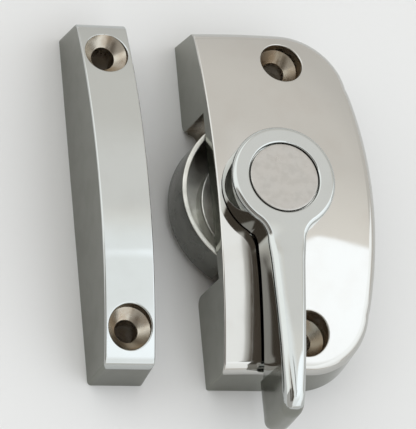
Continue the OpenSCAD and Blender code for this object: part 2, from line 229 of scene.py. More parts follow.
def arc(cx, cy, radius, start, end, steps):
    """Points of an arc, both ends included, with angles in radians."""
    turns = [start + (end - start) * i / steps for i in range(steps + 1)]
    return [(cx + radius * math.cos(turn), cy + radius * math.sin(turn)) for turn in turns]


def circle(cx, cy, radius, steps=96):
    return arc(cx, cy, radius, 0, 2 * math.pi, steps)[:-1]


def line(start, end, shares):
    """Points between two ends at the given shares, the ends left out."""
    return [tuple(a + (b - a) * share for a, b in zip(start, end)) for share in shares]


def even(steps):
    return [i / steps for i in range(1, steps)]


def ease(share):
    share = min(1, max(0, share))
    return share * share * (3 - 2 * share)


def edge_drop(distance, radius):
    """How far a rounded edge lies below the full surface, at a distance in from its wall."""
    inward = max(0, radius - max(0, distance))
    return radius - math.sqrt(radius * radius - inward * inward)


def edge_turns(steps):
    """Angles of the rings round a rounded edge, from the wall to the front."""
    return [math.pi / 2 * i / steps for i in range(steps + 1)]


def dome_z(radius):
    return CASE_H - DOME_R + math.sqrt(DOME_R ** 2 - radius ** 2)


# Places of the castings' finishes in their material slots; the recess and side slots hold darker copies of the
# plating, which are painted shade
BRIGHT, RECESS, SIDE = range(3)


class Shell:
    """A piece's points and faces, joined ring by ring."""

    def __init__(self):
        self.points = []
        self.faces = []
        self.finishes = []

    def ring(self, outline, height):
        """Adds a closed ring; height is one value or a function of x and y."""
        first = len(self.points)
        for x, y in outline:
            z = height(x, y) if callable(height) else height
            self.points.append((x, y, z))
        return list(range(first, len(self.points)))

    def points_ring(self, points):
        first = len(self.points)
        self.points.extend(points)
        return list(range(first, len(self.points)))

    def face(self, corners, finish=0):
        self.faces.append(corners)
        self.finishes.append(finish)

    def strip(self, ring_a, ring_b, finish=0):
        count = len(ring_a)
        for i in range(count):
            j = (i + 1) % count
            self.face((ring_a[i], ring_a[j], ring_b[j], ring_b[i]), finish)

    def strips(self, rings, finish=0):
        for ring_a, ring_b in zip(rings, rings[1:]):
            self.strip(ring_a, ring_b, finish)

    def fill(self, outer, holes, inner_points, height, is_inside, finish=0):
        """Fills between an outer ring and hole rings, with loose points inside for a curved front."""
        known = list(outer)
        edges = [(i, (i + 1) % len(outer)) for i in range(len(outer))]
        for hole in holes:
            first = len(known)
            known += hole
            edges += [(first + i, first + (i + 1) % len(hole)) for i in range(len(hole))]
        known += self.ring(inner_points, height)
        flat = [Vector(self.points[i][:2]) for i in known]
        found, _, triangles, origins, _, _ = delaunay_2d_cdt(flat, edges, [], 1, 1e-7)
        for triangle in triangles:
            middle = sum((found[i] for i in triangle), Vector((0, 0))) / 3
            if is_inside(middle.x, middle.y):
                self.face([known[origins[i][0]] for i in triangle], finish)

    def mesh(self, name):
        made = bpy.data.meshes.new(name)
        made.from_pydata(self.points, [], self.faces)
        made.polygons.foreach_set("material_index", self.finishes)
        outward(made)
        return made


def outward(mesh, merge_within=0):
    """Turns a closed mesh's faces outwards, after merging doubled points where a distance is given."""
    work = bmesh.new()
    work.from_mesh(mesh)
    if merge_within:
        bmesh.ops.remove_doubles(work, verts=work.verts, dist=merge_within)
    bmesh.ops.recalc_face_normals(work, faces=work.faces)
    work.to_mesh(mesh)
    work.free()


def turned(name, profile, cx=0, cy=0, steps=128):
    """A mesh turned from a profile of radius and height, from axis to axis or closed on itself."""
    shell = Shell()
    rings = [shell.ring(circle(cx, cy, radius, steps), z) for radius, z in profile if radius > 0]
    shell.strips(rings)
    if profile[0][0] == 0 or profile[-1][0] == 0:
        shell.face(rings[0])
        shell.face(rings[-1])
    else:
        shell.strip(rings[-1], rings[0])
    return shell.mesh(name)


def prism(name, outline, low, high):
    """A mesh with straight walls along Z over an outline."""
    shell = Shell()
    foot = shell.ring(outline, low)
    top = shell.ring(outline, high)
    shell.strip(foot, top)
    shell.face(foot)
    shell.face(top)
    return shell.mesh(name)


def drill(name, radius, low, high, cy=0, steps=128):
    """A plain cylinder along Z, to cut with."""
    return turned(name, [(0, low), (radius, low), (radius, high), (0, high)], cy=cy, steps=steps)


def finished(mesh, finish):
    """The mesh with all its faces in one finish."""
    mesh.polygons.foreach_set("material_index", [finish] * len(mesh.polygons))
    return mesh


def rectangle(x0, y0, x1, y1):
    return [(x0, y0), (x1, y0), (x1, y1), (x0, y1)]


def placed(name, data):
    """A new object in the scene."""
    made = bpy.data.objects.new(name, data)
    bpy.context.scene.collection.objects.link(made)
    return made


def combined(mesh, tools, operation, finishes=()):
    """The mesh after each tool mesh is cut from it or joined to it, each face with its own finish."""
    for part in (mesh, *tools):
        if not part.materials:
            for finish in finishes or PLATING:
                part.materials.append(finish)
    body = placed(mesh.name, mesh)
    for tool in tools:
        cutter = placed("cutter", tool)
        step = body.modifiers.new("step", "BOOLEAN")
        step.operation = operation
        step.solver = "EXACT"
        step.object = cutter
        graph = bpy.context.evaluated_depsgraph_get()
        result = bpy.data.meshes.new_from_object(body.evaluated_get(graph))
        body.modifiers.remove(step)
        body.data = result
        bpy.data.objects.remove(cutter)
    result = body.data
    bpy.data.objects.remove(body)
    return result


def piece(name, mesh, finishes, body, slot, *nodes):
    """Puts a mesh in the scene, in metres in the row frame, in place of its nodes."""
    mesh.transform(Matrix.Scale(MM, 4) @ Matrix.Translation((SPINDLE_X, 0, 0)))
    mesh.shade_smooth()
    mesh.set_sharp_from_angle(angle=SMOOTH_ANGLE)
    if not mesh.materials:
        for finish in finishes:
            mesh.materials.append(finish)
    made = placed(name, mesh)
    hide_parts(*nodes)
    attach(made, body)


def screw_hole(shell, cx, cy, seat, front, steps=72):
    """Rings of a countersunk hole; gives the ring at the front surface and the one at the back."""
    rim = [shell.ring(circle(cx, cy, HEAD_R + RIM_R + EDGE_LAP, steps), front)]
    for turn in reversed(edge_turns(5)):
        radius = HEAD_R + RIM_R * (1 - math.cos(turn))
        rim.append(shell.ring(circle(cx, cy, radius, steps), front))
    shell.strips(rim)
    cone_top = seat + HEAD_R - SCREW_R
    wall = [rim[-1], shell.ring(circle(cx, cy, HEAD_R, steps), cone_top)]
    for share in (0, 0.25, 0.5, 0.75, 1):
        turn = math.pi / 4 * (1 + share)
        radius = SCREW_R + FOOT_R * (1 - math.sin(turn)) / (1 - math.sin(math.pi / 4))
        height = seat + FOOT_R * (math.cos(turn) / math.cos(math.pi / 4))
        wall.append(shell.ring(circle(cx, cy, radius, steps), height))
    wall.append(shell.ring(circle(cx, cy, SCREW_R, steps), 0))
    # The hole's walls take the recess finish, whose darker colour is painted shade
    shell.strips(wall, finish=RECESS)
    return rim[0], wall[-1]


# The case: a domed front with a soft edge, drafted walls and a cam pocket open to the left

CASE_HOLES = [(-SPINDLE_X, -SCREW_Y), (-SPINDLE_X, SCREW_Y)]


def case_outline(inset, left_inset):
    """The outline from the lower left corner round, with the same points at any inset."""
    left = left_inset - CASE_LEFT + HEEL_R
    end = HALF_LEN - inset - HEEL_R
    near_end = [0.1, 0.25, 0.45, 0.7, 1, 1.4, 1.9, 2.6, 3.6]
    side = 2 * end
    left_shares = [d / side for d in near_end] + [0.1 + 0.8 * i / 30 for i in range(31)]
    left_shares += [1 - d / side for d in reversed(near_end)]
    points = arc(left, -end, HEEL_R, math.pi, 1.5 * math.pi, 6)
    points += line((left, inset - HALF_LEN), (CORNER_CX, inset - HALF_LEN), even(14))
    points += arc(CORNER_CX, -CORNER_CY, CORNER_R - inset, -math.pi / 2, -CORNER_TURN, 24)
    points += arc(SIDE_CX, 0, SIDE_R - inset, -CORNER_TURN, CORNER_TURN, 48)[1:-1]
    points += arc(CORNER_CX, CORNER_CY, CORNER_R - inset, CORNER_TURN, math.pi / 2, 24)
    points += line((CORNER_CX, HALF_LEN - inset), (left, HALF_LEN - inset), even(14))
    points += arc(left, end, HEEL_R, math.pi / 2, math.pi, 6)
    points += line((left - HEEL_R, end), (left - HEEL_R, -end), left_shares)
    return points


def case_depth(x, y):
    """Distance in from the curved outline at the back."""
    y = abs(y)
    depths = []
    if x <= CORNER_CX:
        depths.append(HALF_LEN - y)
    if abs(math.atan2(y, x - SIDE_CX)) <= CORNER_TURN:
        depths.append(SIDE_R - math.hypot(x - SIDE_CX, y))
    if x > CORNER_CX and y > CORNER_CY:
        depths.append(CORNER_R - math.hypot(x - CORNER_CX, y - CORNER_CY))
    return min(depths) if depths else CORNER_R


def case_front(x, y):
    """Height of the domed front with its rounded edges and hole rims."""
    height = dome_z(math.hypot(x, y))
    height -= edge_drop(case_depth(x, y) - DRAFT, EDGE_R)
    height -= edge_drop(x + CASE_LEFT - DRAFT, LEFT_EDGE_R)
    for hole_x, hole_y in CASE_HOLES:
        height -= edge_drop(math.hypot(x - hole_x, y - hole_y) - HEAD_R, RIM_R)
    return height


def grid_points(low_x, high_x, low_y, high_y, pitch, is_clear):
    """Loose points on a staggered grid, where is_clear lets them be."""
    points = []
    for row in range(int((high_y - low_y) / pitch)):
        y = low_y + pitch * (row + 0.5)
        for column in range(int((high_x - low_x) / pitch)):
            x = low_x + pitch * (column + 0.5 + 0.5 * (row % 2))
            if is_clear(x, y):
                points.append((x, y))
    return points


def clear_of(holes, x, y, margin):
    return all(math.hypot(x - hole_x, y - hole_y) > HEAD_R + RIM_R + margin for hole_x, hole_y in holes)


def drilled_plate(name, outline, draft, radii, steps, front, holes, seat, points):
    """A plate with drafted walls, a curved front with rounded edges, and countersunk holes.

    The outline takes two insets, and radii holds the radius of the rounded edge at each of them.
    """
    shell = Shell()
    back = shell.ring(outline(0, 0), 0)
    rings = [back]
    for turn in edge_turns(steps):
        insets = [draft + radius * (1 - math.cos(turn)) for radius in radii]
        rings.append(shell.ring(outline(*insets), front))
    # A narrow ring keeps the shading of the rounded edges out of the front
    rings.append(shell.ring(outline(*[draft + radius + EDGE_LAP for radius in radii]), front))
    # The walls take the side finish, whose dark colour is painted shade
    shell.strip(rings[0], rings[1], SIDE)
    shell.strips(rings[1:])
    bores = [screw_hole(shell, x, y, seat, front) for x, y in holes]
    shell.fill(rings[-1], [rim for rim, _ in bores], points, front,
               lambda x, y: clear_of(holes, x, y, EDGE_LAP - RIM_SLACK))
    shell.fill(back, [foot for _, foot in bores], [], 0,
               lambda x, y: clear_of(holes, x, y, SCREW_R - HEAD_R - RIM_R))
    return shell.mesh(name)


def case_mesh():
    margin = 0.45 * CASE_PITCH + EDGE_LAP

    def is_clear(x, y):
        return (case_depth(x, y) - DRAFT - EDGE_R > margin and x + CASE_LEFT - DRAFT - LEFT_EDGE_R > margin
                and clear_of(CASE_HOLES, x, y, margin))

    points = grid_points(-CASE_LEFT, CASE_RIGHT, -HALF_LEN, HALF_LEN, CASE_PITCH, is_clear)
    body = drilled_plate("case_body", case_outline, DRAFT, (EDGE_R, LEFT_EDGE_R), 10, case_front,
                         CASE_HOLES, CASE_SEAT, points)
    return combined(body, case_cuts(), "DIFFERENCE", CASE_PLATING)


def slot_cut():
    """The cam's opening through the straight side, with rounded inner corners."""
    inner = SLOT_DEPTH - CASE_LEFT - SLOT_CORNER
    end = SLOT_HALF - SLOT_CORNER
    outline = [(-CASE_LEFT - CUT, -SLOT_HALF)]
    outline += arc(inner, -end, SLOT_CORNER, -math.pi / 2, 0, 12)
    outline += arc(inner, end, SLOT_CORNER, 0, math.pi / 2, 12)
    outline.append((-CASE_LEFT - CUT, SLOT_HALF))
    return prism("slot", outline, -CUT, SLOT_TOP)


def flare_cut(side):
    """The rounding of one back corner of that opening."""
    section = arc(SLOT_FLARE, SLOT_FLARE, SLOT_FLARE, math.pi, 1.5 * math.pi, 10)
    section += [(SLOT_FLARE, -CUT), (-CUT, -CUT), (-CUT, SLOT_FLARE)]
    shell = Shell()
    rings = [shell.points_ring([(x - CASE_LEFT, side * (SLOT_HALF + y), z) for y, z in section])
             for x in (-CUT, FLARE_DEPTH)]
    shell.strips(rings)
    for ring in rings:
        shell.face(ring)
    return shell.mesh("flare")


def lip_cut():
    """The bevelled relief behind the front edge of the opening."""
    relief_r = math.hypot(CASE_LEFT, LIP_LEN / 2)
    cone = turned("lip", [(0, POCKET_TOP - LIP_LAP), (relief_r + LIP_LAP, POCKET_TOP - LIP_LAP),
                          (relief_r - LIP_RISE, POCKET_TOP + LIP_RISE), (0, POCKET_TOP + LIP_RISE)])
    opening = rectangle(-CASE_LEFT - CUT, -SLOT_HALF, LIP_DEPTH - CASE_LEFT, SLOT_HALF)
    return combined(cone, [prism("window", opening, 0, CASE_H)], "INTERSECT")


def core_cut(side):
    """The cored recess at one end, beside the screw boss."""
    inner_y = SLOT_HALF + SLOT_FLARE + CORE_WALL / 2
    outer_y = HALF_LEN - CORE_WALL
    right = -SPINDLE_X - HEAD_R - BOSS_WALL
    ends = sorted((side * inner_y, side * outer_y))
    return prism("core", rectangle(CORE_WALL - CASE_LEFT, ends[0], right, ends[1]), -CUT, CORE_DEPTH)


def case_cuts():
    cuts = [
        drill("pocket", POCKET_R, -CUT, POCKET_TOP, steps=240),
        slot_cut(),
        flare_cut(1),
        flare_cut(-1),
        lip_cut(),
        drill("bore", BUSH_R, POCKET_TOP - CUT, CASE_H + CUT),
        drill("land", LAND_R, dome_z(LAND_R - LAND_LAP), CASE_H + CUT),
        drill("pin_hole", STOP_R, POCKET_TOP - CUT, POCKET_TOP + STOP_DEPTH, cy=-STOP_RING, steps=32),
        core_cut(1),
        core_cut(-1),
    ]
    # The cut faces take the recess finish, whose darker colour is painted shade
    return [finished(cut, RECESS) for cut in cuts]


# The keep: a cambered bar with soft ends and a pocket for the cam in its right side

KEEP_HOLES = [(KEEP_CX, KEEP_CY - SCREW_Y), (KEEP_CX, KEEP_CY + SCREW_Y)]


def keep_outline(end_inset, long_inset):
    half_w = KEEP_HALF_W - long_inset - KEEP_HEEL_R
    half_len = KEEP_HALF_LEN - end_inset - KEEP_HEEL_R
    near_end = [0.15, 0.35, 0.6, 0.9, 1.3, 1.8, 2.6]
    side = 2 * half_len
    shares = [d / side for d in near_end] + [0.07 + 0.86 * i / 44 for i in range(45)]
    shares += [1 - d / side for d in reversed(near_end)]
    points = []
    corners = [(1, -1), (1, 1), (-1, 1), (-1, -1)]
    for quarter, (side_x, side_y) in enumerate(corners):
        cx = KEEP_CX + side_x * half_w
        cy = KEEP_CY + side_y * half_len
        start = math.pi / 2 * (quarter - 1)
        bend = arc(cx, cy, KEEP_HEEL_R, start, start + math.pi / 2, 6)
        next_x, next_y = corners[(quarter + 1) % 4]
        turn_to = start + math.pi / 2
        end = (KEEP_CX + next_x * half_w + KEEP_HEEL_R * math.cos(turn_to),
               KEEP_CY + next_y * half_len + KEEP_HEEL_R * math.sin(turn_to))
        points += bend + line(bend[-1], end, shares if quarter % 2 == 0 else even(10))
    return points


def keep_front(x, y):
    along = y - KEEP_CY
    height = KEEP_H - KEEP_CAMBER_R + math.sqrt(KEEP_CAMBER_R ** 2 - along ** 2)
    height -= edge_drop(KEEP_HALF_LEN - KEEP_DRAFT - abs(along), KEEP_END_R)
    height -= edge_drop(KEEP_HALF_W - KEEP_DRAFT - abs(x - KEEP_CX), KEEP_LONG_R)
    for hole_x, hole_y in KEEP_HOLES:
        height -= edge_drop(math.hypot(x - hole_x, y - hole_y) - HEAD_R, RIM_R)
    return height


def keep_mesh():
    margin = 0.4 * KEEP_PITCH + EDGE_LAP

    def is_clear(x, y):
        return (KEEP_HALF_W - KEEP_DRAFT - KEEP_LONG_R - abs(x - KEEP_CX) > margin
                and KEEP_HALF_LEN - KEEP_DRAFT - KEEP_END_R - abs(y - KEEP_CY) > margin
                and clear_of(KEEP_HOLES, x, y, margin))

    points = grid_points(keep_low.x, keep_high.x, keep_low.y, keep_high.y, KEEP_PITCH, is_clear)
    body = drilled_plate("keep_body", keep_outline, KEEP_DRAFT, (KEEP_END_R, KEEP_LONG_R), 8, keep_front,
                         KEEP_HOLES, KEEP_SEAT, points)
    pocket = turned("keep_pocket", [(0, -CUT), (POCKET_R, -CUT), (POCKET_R, POCKET_TOP), (NOSE_R, POCKET_TOP),
                                    (NOSE_R, NOSE_Z), (0, NOSE_Z)],
                    cx=keep_high.x + KEEP_AXIS, cy=KEEP_CY, steps=240)
    # The pocket takes the recess finish, whose darker colour is painted shade
    return combined(body, [finished(pocket, RECESS)], "DIFFERENCE")


# The lever: boss, neck, arm and finger tab in one skin over the domed front

def tip_share(s):
    in_tip = min(1, max(0, s - TIP_END + TIP_R) / TIP_R)
    return (1 - in_tip ** TIP_SQUARE) ** (1 / TIP_SQUARE)


def front_half(s):
    return TIP_HALF + (ARM_FRONT - TIP_HALF) * (max(0, TIP_END - s) / (TIP_END - ARM_ROOT)) ** ARM_CURVE


def base_half(s):
    return front_half(s) + ARM_DRAFT + TAB_DRAFT * ease((s - TAB_START) / TAB_BLEND)


def on_tab(s):
    """Share of the way from the arm to the end of its finger tab."""
    return ease((s - TAB_START) / (TIP_END - TAB_START))


def lever_front(x, y):
    """Height of the lever's front before its edges are rounded.

    The boss and the arm are crowned, the arm bends down a little, and its end is rounded over.
    """
    s = -y
    crown = max(0, math.hypot(x, y) - CAP_R - CAP_GAP - RECESS_EDGE) ** 2 / (2 * BOSS_CROWN_R)
    across = min(1, abs(x) / front_half(s))
    on_arm = ease((s - BOSS_R + BOSS_EDGE) / CROWN_RUN)
    arm_crown = ARM_CROWN + (TIP_CROWN - ARM_CROWN) * on_tab(s)
    height = BOSS_TOP - crown * (1 - on_arm) - arm_crown * across ** 2 * on_arm
    height -= LEFT_CROWN * max(0, -x / front_half(s)) ** 3 * on_arm
    height -= max(0, s - ARM_BEND_FROM) ** 2 / (2 * ARM_BEND_R)
    in_round = min(TIP_ROUND, max(0, s - TIP_END + TIP_ROUND))
    return height - TIP_ROUND + math.sqrt(TIP_ROUND ** 2 - in_round ** 2)


def lever_outline(half):
    """The plan outline from the right of the neck over the boss and round the arm."""
    neck_x = half(BOSS_R) + NECK_R
    neck_s = math.sqrt((BOSS_R + NECK_R) ** 2 - neck_x ** 2)
    lean = math.atan2(neck_s, neck_x)
    tip_from = TIP_END - TIP_R
    boss = arc(0, 0, BOSS_R, -lean, math.pi + lean, 120)
    left_neck = arc(-neck_x, -neck_s, NECK_R, lean, 0, 12)[1:]
    sides = [neck_s + (tip_from - neck_s) * share for share in even(44)]
    # The neck meets the arm where the arm is a little narrower, so that step is shared out below it
    step = half(BOSS_R) - half(neck_s)
    left_side = [(-half(s) - step * (1 - ease((s - neck_s) / NECK_R)), -s) for s in sides]
    tip = []
    steps = 36
    for i in range(steps + 1):
        turn = math.pi * i / steps
        blunt = (abs(math.cos(turn)) ** TIP_SQUARE + math.sin(turn) ** TIP_SQUARE) ** (-1 / TIP_SQUARE)
        tip.append((-half(tip_from) * blunt * math.cos(turn), -tip_from - TIP_R * blunt * math.sin(turn)))
    right_side = [(-x, y) for x, y in reversed(left_side)]
    right_neck = [(-x, y) for x, y in reversed(left_neck)]
    return boss + left_neck + left_side + tip + right_side + right_neck


def inward_normals(outline):
    normals = []
    for i, point in enumerate(outline):
        after = Vector(outline[(i + 1) % len(outline)]) - Vector(point)
        before = Vector(point) - Vector(outline[i - 1])
        along = after.normalized() + before.normalized()
        normals.append(Vector((-along.y, along.x)).normalized())
    return normals


def lever_edge(s):
    """Radius of the rounded edge, which grows from the boss to the arm."""
    return BOSS_EDGE + (ARM_EDGE - BOSS_EDGE) * ease((s - BOSS_R) / CROWN_RUN)


def lever_mesh():
    shell = Shell()
    front = lever_outline(front_half)
    base = lever_outline(base_half)
    normals = inward_normals(front)
    base_normals = inward_normals(base)

    def wall_foot(y):
        s = -y
        if s < BOSS_R:
            return SEAT_Z + WALL_LAP
        over_case = dome_z(min(s, HOOK_IN)) + ARM_GAP
        return over_case + (TAB_Z + 2 * TAB_FOOT - over_case) * ease((s - HOOK_IN) / HOOK_RUN)

    rings = []
    tab_rings = [shell.points_ring([(x, y, wall_foot(y)) for x, y in base])]
    for turn in edge_turns(5):
        inset = TAB_FOOT * (1 - math.cos(turn))
        height = TAB_Z + TAB_FOOT * (1 - math.sin(turn))
        points = [(x + n.x * inset, y + n.y * inset, height) for (x, y), n in zip(base, base_normals)]
        tab_rings.append(shell.points_ring(points))
    for turn in edge_turns(9):
        points = []
        for (x, y), normal in zip(front, normals):
            edge = lever_edge(-y)
            inset = edge * (1 - math.cos(turn))
            at_x = x + normal.x * inset
            at_y = y + normal.y * inset
            points.append((at_x, at_y, lever_front(at_x, at_y) - edge * (1 - math.sin(turn))))
        rings.append(shell.points_ring(points))
    points = []
    for (x, y), normal in zip(front, normals):
        inset = lever_edge(-y) + LEVER_LAP
        points.append((x + normal.x * inset, y + normal.y * inset))
    rings.append(shell.ring(points, lever_front))
    # The walls start in the side finish, a dark copy of the plating that is painted shade; up to the hook every
    # face is set bright, and on the tab the walls and the faces low down keep that painted shade
    shell.strips(list(reversed(tab_rings)) + rings[:1], SIDE)
    shell.strips(rings)
    shell.face(tab_rings[-1], SIDE)
    for index, corners in enumerate(shell.faces):
        if max(-shell.points[corner][1] for corner in corners) < HOOK_IN:
            shell.finishes[index] = BRIGHT
        elif max(shell.points[corner][2] for corner in corners) < BOSS_TOP - TIP_WALL_DROP:
            shell.finishes[index] = SIDE

    recess_r = CAP_R + CAP_GAP
    rim_r = recess_r + RECESS_EDGE + LEVER_LAP
    recess = [shell.ring(circle(0, 0, rim_r, 120), lever_front)]
    for turn in reversed(edge_turns(5)):
        radius = recess_r + RECESS_EDGE * (1 - math.cos(turn))
        recess.append(shell.ring(circle(0, 0, radius, 120), BOSS_TOP - RECESS_EDGE * (1 - math.sin(turn))))
    for radius, z in [(recess_r, CAP_SEAT), (SCREW_ROOM_R, CAP_SEAT), (SCREW_ROOM_R, SCREW_SEAT)]:
        recess.append(shell.ring(circle(0, 0, radius, 120), z))
    shell.strips(recess)
    shell.face(recess[-1])

    def is_clear(x, y, margin):
        radius = math.hypot(x, y)
        if radius < BOSS_R:
            return rim_r + margin < radius < BOSS_R - BOSS_EDGE - margin
        s = -y
        edge = lever_edge(s)
        if not ARM_ROOT < s < TIP_END - edge - margin:
            return False
        return abs(x) < front_half(s) * tip_share(s + edge) - edge - margin

    points = []
    zones = [(BOSS_R, -TAB_START, BOSS_R, LEVER_PITCH), (ARM_FRONT, -TIP_END, -TAB_START, TAB_PITCH)]
    for half, low, high, pitch in zones:
        margin = 0.4 * pitch + LEVER_LAP
        points += grid_points(-half, half, low, high, pitch, lambda x, y: is_clear(x, y, margin))
    root = [(0, -s / 2) for s in range(int(2 * BOSS_R - 2), int(2 * ARM_ROOT))]
    points += [place for place in root if all(math.dist(place, other) > ROOT_CLEAR for other in points)]
    shell.fill(rings[-1], [recess[0]], points, lever_front,
               lambda x, y: math.hypot(x, y) > rim_r - RECESS_SLACK)

    # The step up from the boss to the arm stays clear of the boss's wall
    under = [(0, 0), (HOOK_IN, 0)]
    step_r = BOSS_R + ARM_STEP
    reach = [HOOK_IN + (step_r - HOOK_IN) * i / 40 for i in range(41)]
    under += [(radius, dome_z(radius) + ARM_GAP) for radius in reach]
    under += [(step_r, SEAT_Z), (0, SEAT_Z)]
    half = LEVER_SQUARE / 2
    body = shell.mesh("lever_body")
    body.transform(Matrix.Rotation(-LEVER_LEAN, 4, "Z"))
    cuts = [turned("sweep", under, steps=240),
            prism("square", rectangle(-half, -half, half, half), SEAT_Z - CUT, SCREW_SEAT + CUT)]
    return combined(body, cuts, "DIFFERENCE")


def cap_mesh():
    profile = [(0, CAP_SEAT), (CAP_R, CAP_SEAT)]
    cap_top = node_box("lever_cap")[1].z
    for turn in edge_turns(4):
        profile.append((CAP_R - CAP_EDGE * (1 - math.cos(turn)), cap_top - CAP_EDGE * (1 - math.sin(turn))))
    profile += [(CAP_R * share, cap_top) for share in (0.9, 0.7, 0.5, 0.3, 0.1)] + [(0, cap_top)]
    return turned("cap", profile)


# Sections swept round an axis, which make the cam's rim and floor and the washers

def maths(tree, operation, a, b):
    """The result of a Math node on two values, each a socket or a number."""
    node = tree.nodes.new("ShaderNodeMath")
    node.operation = operation
    for socket, given in zip(node.inputs, (a, b)):
        if isinstance(given, (int, float)):
            socket.default_value = given
        else:
            tree.links.new(given, socket)
    return node.outputs[0]


def swept_section_tree():
    """A four-cornered section with rounded edges, swept round Z through an angle."""
    tree = bpy.data.node_groups.new("swept_section", "GeometryNodeTree")
    tree.interface.new_socket("Geometry", in_out="OUTPUT", socket_type="NodeSocketGeometry")
    for name in ("Bore Radius", "Outer Radius", "Foot", "Height", "Rise", "Taper", "Edge Radius", "Start",
                 "Sweep"):
        tree.interface.new_socket(name, in_out="INPUT", socket_type="NodeSocketFloat")
    tree.interface.new_socket("Finish", in_out="INPUT", socket_type="NodeSocketMaterial")
    nodes, links = tree.nodes, tree.links
    sizes = nodes.new("NodeGroupInput").outputs

    def corner(x, z):
        node = nodes.new("ShaderNodeCombineXYZ")
        if x is not None:
            links.new(x, node.inputs["X"])
        links.new(maths(tree, "MULTIPLY", z, -1), node.inputs["Y"])
        return node.outputs[0]

    width = maths(tree, "SUBTRACT", sizes["Outer Radius"], sizes["Bore Radius"])
    inner_foot = maths(tree, "ADD", sizes["Foot"], sizes["Rise"])
    top = maths(tree, "ADD", sizes["Foot"], sizes["Height"])
    section = nodes.new("GeometryNodeCurvePrimitiveQuadrilateral")
    section.mode = "POINTS"
    corners = [corner(None, inner_foot), corner(width, sizes["Foot"]),
               corner(maths(tree, "SUBTRACT", width, sizes["Taper"]), top),
               corner(None, maths(tree, "ADD", inner_foot, sizes["Height"]))]
    for index, point in enumerate(corners):
        links.new(point, section.inputs[f"Point {index + 1}"])
    rounded = nodes.new("GeometryNodeFilletCurve")
    rounded.mode = "POLY"
    rounded.inputs["Count"].default_value = 4
    rounded.inputs["Limit Radius"].default_value = True
    links.new(section.outputs[0], rounded.inputs["Curve"])
    links.new(sizes["Edge Radius"], rounded.inputs["Radius"])

    steps = 192
    bend = nodes.new("GeometryNodeCurveArc")
    bend.inputs["Resolution"].default_value = steps
    loop = nodes.new("GeometryNodeCurvePrimitiveCircle")
    loop.inputs["Resolution"].default_value = steps
    links.new(sizes["Bore Radius"], bend.inputs["Radius"])
    links.new(sizes["Bore Radius"], loop.inputs["Radius"])
    links.new(sizes["Start"], bend.inputs["Start Angle"])
    links.new(sizes["Sweep"], bend.inputs["Sweep Angle"])
    is_open = maths(tree, "LESS_THAN", sizes["Sweep"], 2 * math.pi - 0.01)
    path = nodes.new("GeometryNodeSwitch")
    links.new(is_open, path.inputs["Switch"])
    links.new(loop.outputs[0], path.inputs["False"])
    links.new(bend.outputs[0], path.inputs["True"])
    upright = nodes.new("GeometryNodeSetCurveNormal")
    upright.mode = "Z_UP"
    links.new(path.outputs[0], upright.inputs["Curve"])
    sweep = nodes.new("GeometryNodeCurveToMesh")
    links.new(upright.outputs[0], sweep.inputs["Curve"])
    links.new(rounded.outputs[0], sweep.inputs["Profile Curve"])
    links.new(is_open, sweep.inputs["Fill Caps"])
    realize = nodes.new("GeometryNodeRealizeInstances")
    links.new(sweep.outputs[0], realize.inputs[0])
    paint = nodes.new("GeometryNodeSetMaterial")
    links.new(realize.outputs[0], paint.inputs["Geometry"])
    links.new(sizes["Finish"], paint.inputs["Material"])
    links.new(paint.outputs[0], nodes.new("NodeGroupOutput").inputs[0])
    return tree


def swept_section(tree, finish, bore, outer, foot, height, rise=0.0, taper=0.0, edge=0.05,
                  start=0.0, sweep=2 * math.pi):
    """The mesh of one swept section, with sizes in millimetres and angles in radians."""
    sizes = {"Bore Radius": bore, "Outer Radius": outer, "Foot": foot, "Height": height, "Rise": rise,
             "Taper": taper, "Edge Radius": edge, "Start": start, "Sweep": sweep, "Finish": finish}
    holder = placed("section", bpy.data.meshes.new("section"))
    maker = holder.modifiers.new("section", "NODES")
    maker.node_group = tree
    for socket in tree.interface.items_tree:
        if socket.in_out == "INPUT":
            given = sizes[socket.name]
            maker[socket.identifier] = float(given) if isinstance(given, (int, float)) else given
    graph = bpy.context.evaluated_depsgraph_get()
    mesh = bpy.data.meshes.new_from_object(holder.evaluated_get(graph))
    bpy.data.objects.remove(holder)
    outward(mesh, merge_within=1e-5)
    return mesh


